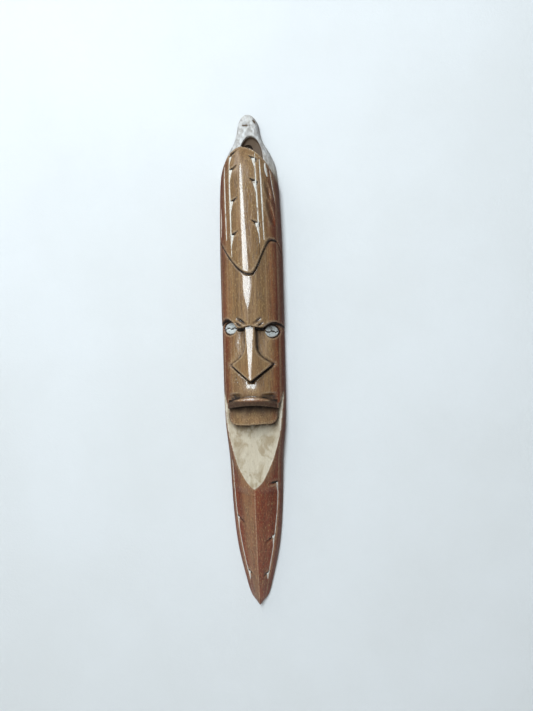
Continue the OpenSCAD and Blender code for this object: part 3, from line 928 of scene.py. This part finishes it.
def putty_bed(name, side):
    """Lumpy bed that fills the socket and stands up a little round the plates."""
    along = np.linspace(-0.999, 0.999, ALONG)[:, None] * SOCKET_LONG / 2
    edge = lens_edge(along, SOCKET_LONG, SOCKET_HIGH) + 0.15
    share = np.linspace(-1, 1, 25)[None, :]
    up = edge * share
    lump = 0.25 * waver(along + 0 * up, up, 1.6, 1.3, 80 + side)
    face = PUTTY_FACE + 0.9 * smooth(0.55, 1.0, np.abs(share)) + lump
    grid = np.broadcast_arrays(along, up, face)
    return sew_plate(name, eye_points(side, *grid),
                     eye_points(side, grid[0], grid[1], grid[2] * 0 + PUTTY_BACK))


eye_pieces = {}
for side, word in ((-1, "left"), (1, "right")):
    eye_pieces["eye_putty_" + word] = putty_bed("putty_bed_" + word, side)
    for upper, which in ((1, "upper"), (0, "lower")):
        node = f"eye_shell_{which}_{word}"
        eye_pieces[node] = shell_plate(f"shell_{which}_{word}", side, upper)
print(len(eye_pieces), "pieces in the eyes")

# %% [markdown]
# Finishes. The carver varnished the wood after cutting it, then pared the chin and the tab
# back to bare wood. Two effects are needed on both kinds of surface, each time with other
# colours, so each is a node group: grain that runs along the billet, and the dirt and wear
# that handling leaves, which here also lay painted shade in the low places and painted
# highlights on some high ones. The masks stored on the mesh then say which surface shows where.

# %% Small helpers for building finishes


def paint(red, green, blue):
    """Screen colour, 0 to 255, as the linear colour that shaders use."""
    channels = [c / 255 for c in (red, green, blue)]
    return tuple(c / 12.92 if c <= 0.04045 else ((c + 0.055) / 1.055) ** 2.4
                 for c in channels) + (1.0,)


def feed(tree, socket, value):
    if isinstance(value, bpy.types.NodeSocket):
        tree.links.new(value, socket)
    else:
        socket.default_value = value


def calc(tree, operation, a, b=0.0, clamp=False):
    node = tree.nodes.new("ShaderNodeMath")
    node.operation, node.use_clamp = operation, clamp
    feed(tree, node.inputs[0], a)
    feed(tree, node.inputs[1], b)
    return node.outputs[0]


def times(tree, a, b, clamp=False):
    return calc(tree, "MULTIPLY", a, b, clamp)


def plus(tree, a, b, clamp=False):
    return calc(tree, "ADD", a, b, clamp)


def blend_colour(tree, share, a, b, mode="MIX"):
    node = tree.nodes.new("ShaderNodeMix")
    node.data_type, node.blend_type, node.clamp_factor = "RGBA", mode, True
    for name, value in (("Factor_Float", share), ("A_Color", a), ("B_Color", b)):
        feed(tree, next(s for s in node.inputs if s.identifier == name), value)
    return next(s for s in node.outputs if s.identifier == "Result_Color")


def step_up(tree, value, low, high, to_low=0.0, to_high=1.0):
    node = tree.nodes.new("ShaderNodeMapRange")
    node.interpolation_type = "SMOOTHSTEP"
    for name, v in (("Value", value), ("From Min", low), ("From Max", high),
                    ("To Min", to_low), ("To Max", to_high)):
        feed(tree, node.inputs[name], v)
    return node.outputs["Result"]


def noise(tree, scale, detail=3.0, distortion=0.0, turn=(0, 0, 0), rough=0.55):
    """Noise on the piece's own coordinates; scale is cells per metre in x, y and z."""
    where = tree.nodes.new("ShaderNodeTexCoord")
    stretch = tree.nodes.new("ShaderNodeMapping")
    stretch.inputs["Scale"].default_value = scale
    stretch.inputs["Rotation"].default_value = turn
    node = tree.nodes.new("ShaderNodeTexNoise")
    node.inputs["Scale"].default_value = 1.0
    node.inputs["Detail"].default_value = detail
    node.inputs["Roughness"].default_value = rough
    node.inputs["Distortion"].default_value = distortion
    tree.links.new(where.outputs["Object"], stretch.inputs["Vector"])
    tree.links.new(stretch.outputs["Vector"], node.inputs["Vector"])
    return node.outputs["Fac"]


def stored(tree, name):
    node = tree.nodes.new("ShaderNodeAttribute")
    node.attribute_name = name
    return node.outputs["Fac"]


def effect(name, inputs, outputs):
    """An empty shader node group with named sockets."""
    group = bpy.data.node_groups.new(name, "ShaderNodeTree")
    for direction, sockets in (("INPUT", inputs), ("OUTPUT", outputs)):
        for label, kind, *default in sockets:
            socket = group.interface.new_socket(label, in_out=direction, socket_type=kind)
            if default:
                socket.default_value = default[0]
    return group, group.nodes.new("NodeGroupInput"), group.nodes.new("NodeGroupOutput")


def place_effect(tree, group, **values):
    node = tree.nodes.new("ShaderNodeGroup")
    node.node_tree = group
    for name, value in values.items():
        feed(tree, node.inputs[name.replace("_", " ")], value)
    return node.outputs


COLOUR, NUMBER = "NodeSocketColor", "NodeSocketFloat"

# %% [markdown]
# Grain runs the whole length of the billet, through every level of the carving. Three
# noises, all stretched along the height, give the broad bands, the fine streaks and the
# short dark pores. The group takes its light and dark colours from the finish that uses it,
# so varnished and bare wood share one grain.

# %% Effect: grain along the billet


def grain_effect():
    group, source, result = effect("grain_along_billet", (
        ("Light", COLOUR), ("Dark", COLOUR), ("Streaks", NUMBER, 0.5),
        ("Pores", NUMBER, 0.5)), (("Colour", COLOUR), ("Height", NUMBER)))
    broad = noise(group, (110, 90, 7), 5, 0.8)
    fine = noise(group, (620, 620, 16), 4, 0.3, (0, 0.02, 0))
    pores = noise(group, (1900, 1900, 75), 2, 0.0)
    mixed = plus(group, times(group, fine, 0.45), times(group, broad, 0.55))
    streak = step_up(group, mixed, 0.38, 0.62)
    share = times(group, streak, source.outputs["Streaks"])
    colour = blend_colour(group, share, source.outputs["Light"], source.outputs["Dark"])
    pore = step_up(group, pores, 0.56, 0.68)
    pore = times(group, pore, source.outputs["Pores"])
    colour = blend_colour(group, pore, colour, source.outputs["Dark"], "MULTIPLY")
    height = calc(group, "SUBTRACT", 1.0, pore)
    height = calc(group, "SUBTRACT", height, times(group, fine, 0.6))
    group.links.new(colour, result.inputs["Colour"])
    group.links.new(height, result.inputs["Height"])
    return group


# %% [markdown]
# Years of handling rub the high places pale and fill the low ones with dark dirt, and here
# the same colours also paint shade into the low places and highlights onto some high ones.
# Painting this by hand would have to be done again after each change, so the group reads
# the low and high places stored on the skin, and breaks them up with noise so that no edge
# is even.

# %% Effect: dirt and painted shade in the low places, wear and painted highlights on the high ones


def dirt_wear_and_painted_light_effect():
    group, source, result = effect("dirt_wear_and_painted_light", (
        ("Colour", COLOUR), ("Low", NUMBER), ("High", NUMBER), ("Dirt", COLOUR),
        ("Worn", COLOUR), ("Dirtiness", NUMBER, 1.0), ("Wear", NUMBER, 1.0)),
        (("Colour", COLOUR), ("Dirt Mask", NUMBER), ("Worn Mask", NUMBER)))
    patchy = noise(group, (240, 240, 170), 4, 0.4)
    crumbs = noise(group, (1100, 1100, 900), 2)
    uneven = step_up(group, patchy, 0.3, 0.7, 0.45, 1.35)
    dirt = times(group, source.outputs["Low"], source.outputs["Dirtiness"])
    dirt = times(group, dirt, uneven, clamp=True)
    broken = step_up(group, crumbs, 0.36, 0.6)
    worn = times(group, source.outputs["High"], source.outputs["Wear"])
    worn = times(group, worn, broken, clamp=True)
    colour = blend_colour(group, worn, source.outputs["Colour"], source.outputs["Worn"])
    colour = blend_colour(group, dirt, colour, source.outputs["Dirt"])
    group.links.new(colour, result.inputs["Colour"])
    group.links.new(dirt, result.inputs["Dirt Mask"])
    group.links.new(worn, result.inputs["Worn Mask"])
    return group


GRAIN, DIRT_WEAR_AND_PAINTED_LIGHT = grain_effect(), dirt_wear_and_painted_light_effect()
print("effects:", GRAIN.name, DIRT_WEAR_AND_PAINTED_LIGHT.name)

# %% [markdown]
# Every finish starts in the same way: a material with one Principled shader, and a Bump
# node that turns a height into small relief. Numbers that are the same all over a surface
# are set on the shader itself.

# %% A finish starts as one shader with a bump


def new_finish(name, rough=0.5):
    material = bpy.data.materials.get(name) or bpy.data.materials.new(name)
    material.use_nodes = True
    tree = material.node_tree
    shader = next(n for n in tree.nodes if n.type == "BSDF_PRINCIPLED")
    shader.inputs["Roughness"].default_value = rough
    shader.inputs["IOR"].default_value = 1.5
    return material, tree, shader


def add_bump(tree, shader, height, distance, strength=1.0):
    node = tree.nodes.new("ShaderNodeBump")
    node.inputs["Distance"].default_value = distance
    node.inputs["Strength"].default_value = strength
    tree.links.new(height, node.inputs["Height"])
    tree.links.new(node.outputs["Normal"], shader.inputs["Normal"])


# %% [markdown]
# The wood's own finish. Under the varnish it is a warm tan in the middle of the face and
# redder and darker towards the sides, partly where more varnish was left and partly as
# painted shade and painted red reflected light where the sides turn away; on the spike the
# left facet is painted lighter than the right, for light from the left. The bare places are
# pale and blotchy, and on the tab near white: the pale wood with a painted glare. The hook
# recess and the bore are painted dark as shade, and the mouth slab darkens towards its top
# as a painted shadow. Gloss is uneven, as brushed varnish is. The bare wood has none, and
# the dirt and painted shade have little.

# %% Finish: varnished and bare wood


def wood_finish():
    material, tree, shader = new_finish("varnished_hardwood")
    patch = noise(tree, (26, 26, 17), 4, 0.6)
    # Red tone: patchy varnish, plus the painted side shade and red reflected light stored in
    # 'side'.
    redness_and_side_shade = calc(tree, "SUBTRACT", times(tree, patch, 0.9), 0.45)
    redness_and_side_shade = plus(tree, redness_and_side_shade, stored(tree, "side"), clamp=True)
    light = blend_colour(tree, redness_and_side_shade, paint(150, 116, 78), paint(134, 58, 30))
    dark = blend_colour(tree, redness_and_side_shade, paint(98, 68, 40), paint(84, 30, 15))
    grain = place_effect(tree, GRAIN, Light=light, Dark=dark, Streaks=0.6, Pores=0.6)
    fleck = step_up(tree, noise(tree, (1500, 1500, 520), 2), 0.57, 0.68, 0.0, 0.6)
    flecked = blend_colour(tree, fleck, grain["Colour"], paint(196, 166, 112))
    # Dirt colour goes on the low places, as dirt and painted shade; worn colour on the high ones,
    # as wear and painted highlights.
    varnish_shaded_and_worn = place_effect(tree, DIRT_WEAR_AND_PAINTED_LIGHT, Colour=flecked, Low=stored(tree, "low"),
                           High=stored(tree, "high"), Dirt=paint(38, 24, 16),
                           Worn=paint(196, 168, 134), Dirtiness=0.95, Wear=0.6)
    # Darkens the mouth slab, most at its top: a painted shadow under the upper lip.
    colour = blend_colour(tree, times(tree, stored(tree, "mouth"), 0.75),
                          varnish_shaded_and_worn["Colour"], paint(48, 34, 24))
    blotch = step_up(tree, noise(tree, (70, 70, 45), 4, 0.8), 0.46, 0.62)
    pale_wood = blend_colour(tree, blotch, paint(202, 190, 168), paint(166, 148, 120))
    # On the tab the pale wood turns near white: a painted glare on its upward face over the pale
    # wood.
    tab_white_and_glare = step_up(tree, noise(tree, (300, 300, 220), 4, 0.5), 0.3, 0.55, 0.7, 1.0)
    tab_white_and_glare = times(tree, tab_white_and_glare, stored(tree, "tab"))
    pale_wood = blend_colour(tree, tab_white_and_glare, pale_wood, paint(250, 252, 253))
    pale = place_effect(tree, GRAIN, Light=pale_wood, Dark=paint(180, 160, 136),
                        Streaks=0.25, Pores=0.3)
    # On the bare wood too, the dirt colour is dirt and painted shade, the worn colour wear and
    # painted highlights.
    pale_shaded_and_worn = place_effect(tree, DIRT_WEAR_AND_PAINTED_LIGHT, Colour=pale["Colour"], Low=stored(tree, "low"),
                          High=stored(tree, "high"), Dirt=paint(92, 74, 58),
                          Worn=paint(232, 226, 220), Dirtiness=0.8, Wear=0.4)
    bare = step_up(tree, plus(tree, stored(tree, "bare"),
                              times(tree, noise(tree, (500, 500, 260), 3), 0.3)),
                   0.5, 0.85)
    colour = blend_colour(tree, bare, colour, pale_shaded_and_worn["Colour"])
    # The hook recess and the bore are painted dark grey-brown: painted shade in the hollows.
    colour = blend_colour(tree, stored(tree, "recess"), colour, paint(96, 78, 62))
    colour = blend_colour(tree, times(tree, stored(tree, "rear"), 0.75), colour,
                          paint(134, 106, 78))
    tree.links.new(colour, shader.inputs["Base Color"])
    dull = calc(tree, "MAXIMUM", bare, calc(tree, "MAXIMUM", stored(tree, "recess"),
                                            stored(tree, "rear")))
    mouth_dull = step_up(tree, stored(tree, "mouth"), 0.0, 0.12)
    dull = calc(tree, "MAXIMUM", dull, mouth_dull)
    brushed = step_up(tree, noise(tree, (90, 90, 30), 3, 0.5), 0.3, 0.7, 0.26, 0.46)
    rough = plus(tree, brushed, times(tree, varnish_shaded_and_worn["Dirt Mask"], 0.3))
    rough = plus(tree, rough, times(tree, dull, 0.45), clamp=True)
    tree.links.new(rough, shader.inputs["Roughness"])
    coat = times(tree, calc(tree, "SUBTRACT", 1.0, dull), 0.9)
    round_side = times(tree, stored(tree, "side"), 0.8, clamp=True)
    coat = times(tree, coat, calc(tree, "SUBTRACT", 1.0, round_side))
    tree.links.new(coat, shader.inputs["Coat Weight"])
    shader.inputs["Coat Roughness"].default_value = 0.13
    tool = noise(tree, (420, 420, 140), 3, 0.3)
    height = plus(tree, times(tree, grain["Height"], 0.35), tool)
    add_bump(tree, shader, height, 0.0006, 0.75)
    return material


# %% [markdown]
# The fillings are plainer. Lime is chalky and takes grime in patches. Shell is layered and
# a little glossy, so its noise is stretched and twisted. Putty is dark, lumpy and dull.

# %% Finishes: lime, shell and putty


def lime_finish():
    material, tree, shader = new_finish("white_lime", 0.9)
    grime = step_up(tree, noise(tree, (700, 700, 300), 4, 0.5), 0.5, 0.72)
    colour = blend_colour(tree, grime, paint(232, 228, 219), paint(150, 128, 106))
    tree.links.new(colour, shader.inputs["Base Color"])
    add_bump(tree, shader, noise(tree, (1500, 1500, 1500), 4), 0.0004)
    return material


def shell_finish():
    material, tree, shader = new_finish("shell", 0.4)
    layers = noise(tree, (380, 380, 900), 4, 1.4, (0.3, 0.5, 0.2))
    cloud = noise(tree, (210, 210, 210), 3, 0.6)
    colour = blend_colour(tree, step_up(tree, layers, 0.38, 0.68), paint(226, 228, 224),
                          paint(158, 162, 160))
    colour = blend_colour(tree, step_up(tree, cloud, 0.55, 0.72), colour, paint(112, 100, 86))
    sheen = step_up(tree, noise(tree, (300, 300, 520), 2, 2.0), 0.45, 0.6, 0.0, 0.5)
    colour = blend_colour(tree, sheen, colour, paint(234, 238, 240))
    tree.links.new(colour, shader.inputs["Base Color"])
    tree.links.new(step_up(tree, cloud, 0.4, 0.7, 0.3, 0.65), shader.inputs["Roughness"])
    shader.inputs["Coat Weight"].default_value = 0.3
    shader.inputs["Coat Roughness"].default_value = 0.2
    add_bump(tree, shader, layers, 0.0005, 0.8)
    return material


def putty_finish():
    material, tree, shader = new_finish("dark_putty", 0.55)
    lumps = noise(tree, (600, 600, 600), 4, 0.4)
    colour = blend_colour(tree, step_up(tree, lumps, 0.4, 0.7), paint(44, 32, 24),
                          paint(86, 64, 46))
    tree.links.new(colour, shader.inputs["Base Color"])
    add_bump(tree, shader, lumps, 0.0007)
    return material


finishes = {"wood": wood_finish(), "lime": lime_finish(), "shell": shell_finish(),
            "putty": putty_finish()}
wood.data.materials.clear()
wood.data.materials.append(finishes["wood"])
for node, piece in eye_pieces.items():
    piece.data.materials.append(finishes["putty" if "putty" in node else "shell"])
print("finishes:", sorted(finishes))

# %% [markdown]
# The mask hangs on a pale wall, over a pale floor. The wall is only there for a camera in
# front of it: seen from behind, or by light on its way to the mask, it is transparent, so
# the back of the mask can be looked at too.

# %% Wall and floor
WALL_GAP, FLOOR_Z = 0.0012, -0.95


def stage_plane(name, corners, colour, one_way):
    piece = mesh_piece(name, corners, [[0, 1, 2, 3]])
    material, tree, shader = new_finish(name, 0.9)
    mottle = step_up(tree, noise(tree, (6, 6, 6), 3), 0.3, 0.7, 0.0, 0.35)
    tone = blend_colour(tree, mottle, colour, paint(214, 214, 212))
    tree.links.new(tone, shader.inputs["Base Color"])
    add_bump(tree, shader, noise(tree, (500, 500, 500), 3), 0.0004, 0.4)
    if one_way:
        light_path = tree.nodes.new("ShaderNodeLightPath")
        faces = tree.nodes.new("ShaderNodeNewGeometry")
        clear = tree.nodes.new("ShaderNodeBsdfTransparent")
        blend = tree.nodes.new("ShaderNodeMixShader")
        front_only = calc(tree, "SUBTRACT", light_path.outputs["Is Camera Ray"],
                          faces.outputs["Backfacing"], clamp=True)
        output = next(n for n in tree.nodes if n.type == "OUTPUT_MATERIAL")
        tree.links.new(front_only, blend.inputs["Fac"])
        tree.links.new(clear.outputs[0], blend.inputs[1])
        tree.links.new(shader.outputs[0], blend.inputs[2])
        tree.links.new(blend.outputs[0], output.inputs["Surface"])
    piece.data.materials.append(material)
    return piece


stage_plane("wall", [(-4, WALL_GAP, FLOOR_Z), (4, WALL_GAP, FLOOR_Z), (4, WALL_GAP, 3),
                     (-4, WALL_GAP, 3)], paint(226, 227, 228), True)
stage_plane("floor", [(-4, -4, FLOOR_Z), (4, -4, FLOOR_Z), (4, 4, FLOOR_Z), (-4, 4, FLOOR_Z)],
            paint(226, 226, 224), False)
print("wall", WALL_GAP, "m behind the mask; floor at", FLOOR_Z, "m")

# %% [markdown]
# One large soft light stands in for a window, high on the left in front of the wall, and
# the pale surroundings fill the shadows. The mask is tall and the light long, so it draws a
# long soft highlight down the ridges.

# %% Light


def soft_light(name, place_at, aim, size, watts, colour):
    lamp = bpy.data.lights.new(name, "AREA")
    lamp.shape, lamp.size, lamp.size_y = "RECTANGLE", size[0], size[1]
    lamp.energy, lamp.color = watts, colour
    lamp_piece = link(bpy.data.objects.new(name, lamp))
    lamp_piece.location = place_at
    look = Vector(aim) - Vector(place_at)
    lamp_piece.rotation_euler = look.to_track_quat("-Z", "Y").to_euler()


middle = (0, -0.03, -0.2)
soft_light("window", (-0.26, -1.35, 0.5), middle, (0.4, 1.15), 25, (0.84, 0.94, 1.0))
soft_light("room", (-1.0, -0.7, 1.1), middle, (1.0, 1.0), 6, (1.0, 0.97, 0.92))
soft_light("behind", (0.0, 1.3, 1.5), middle, (0.8, 0.8), 22, (1.0, 1.0, 1.0))
world = bpy.data.worlds.new("surroundings")
world.use_nodes = True
backdrop = next(n for n in world.node_tree.nodes if n.type == "BACKGROUND")
backdrop.inputs["Color"].default_value = paint(222, 224, 226)
sight = world.node_tree.nodes.new("ShaderNodeLightPath")
strength = step_up(world.node_tree, sight.outputs["Is Camera Ray"], 0, 1, 0.19, 0.85)
world.node_tree.links.new(strength, backdrop.inputs["Strength"])
bpy.context.scene.world = world
bpy.context.scene.view_settings.view_transform = "Standard"

# %% [markdown]
# The camera stands about half a metre from the wall, level with the nose and a little to
# the right, so perspective is strong: the deep nose and hair come forward of the thin tab.

# %% Camera
CAMERA_PLACE = (0.056, -0.55, (254.7 + TIP) * MM)
CAMERA_YAW, CAMERA_ROLL = 4.5, -1.5
lens = bpy.data.cameras.new("camera")
lens.sensor_fit, lens.sensor_height, lens.lens = "VERTICAL", 36, 27
camera = link(bpy.data.objects.new("camera", lens))
turn = (Matrix.Rotation(math.radians(CAMERA_YAW), 4, "Z") @ Matrix.Rotation(math.pi / 2, 4, "X")
        @ Matrix.Rotation(math.radians(CAMERA_ROLL), 4, "Z"))
camera.matrix_world = Matrix.Translation(CAMERA_PLACE) @ turn
bpy.context.scene.camera = camera
print("camera", -CAMERA_PLACE[1], "m from the wall, with a", lens.lens, "mm lens")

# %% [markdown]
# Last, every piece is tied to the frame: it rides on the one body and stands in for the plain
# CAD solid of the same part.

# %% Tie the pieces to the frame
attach(wood, "root")
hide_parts("carved_body")
for node, piece in {**lime_pieces, **eye_pieces}.items():
    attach(piece, "root")
    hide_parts(node)
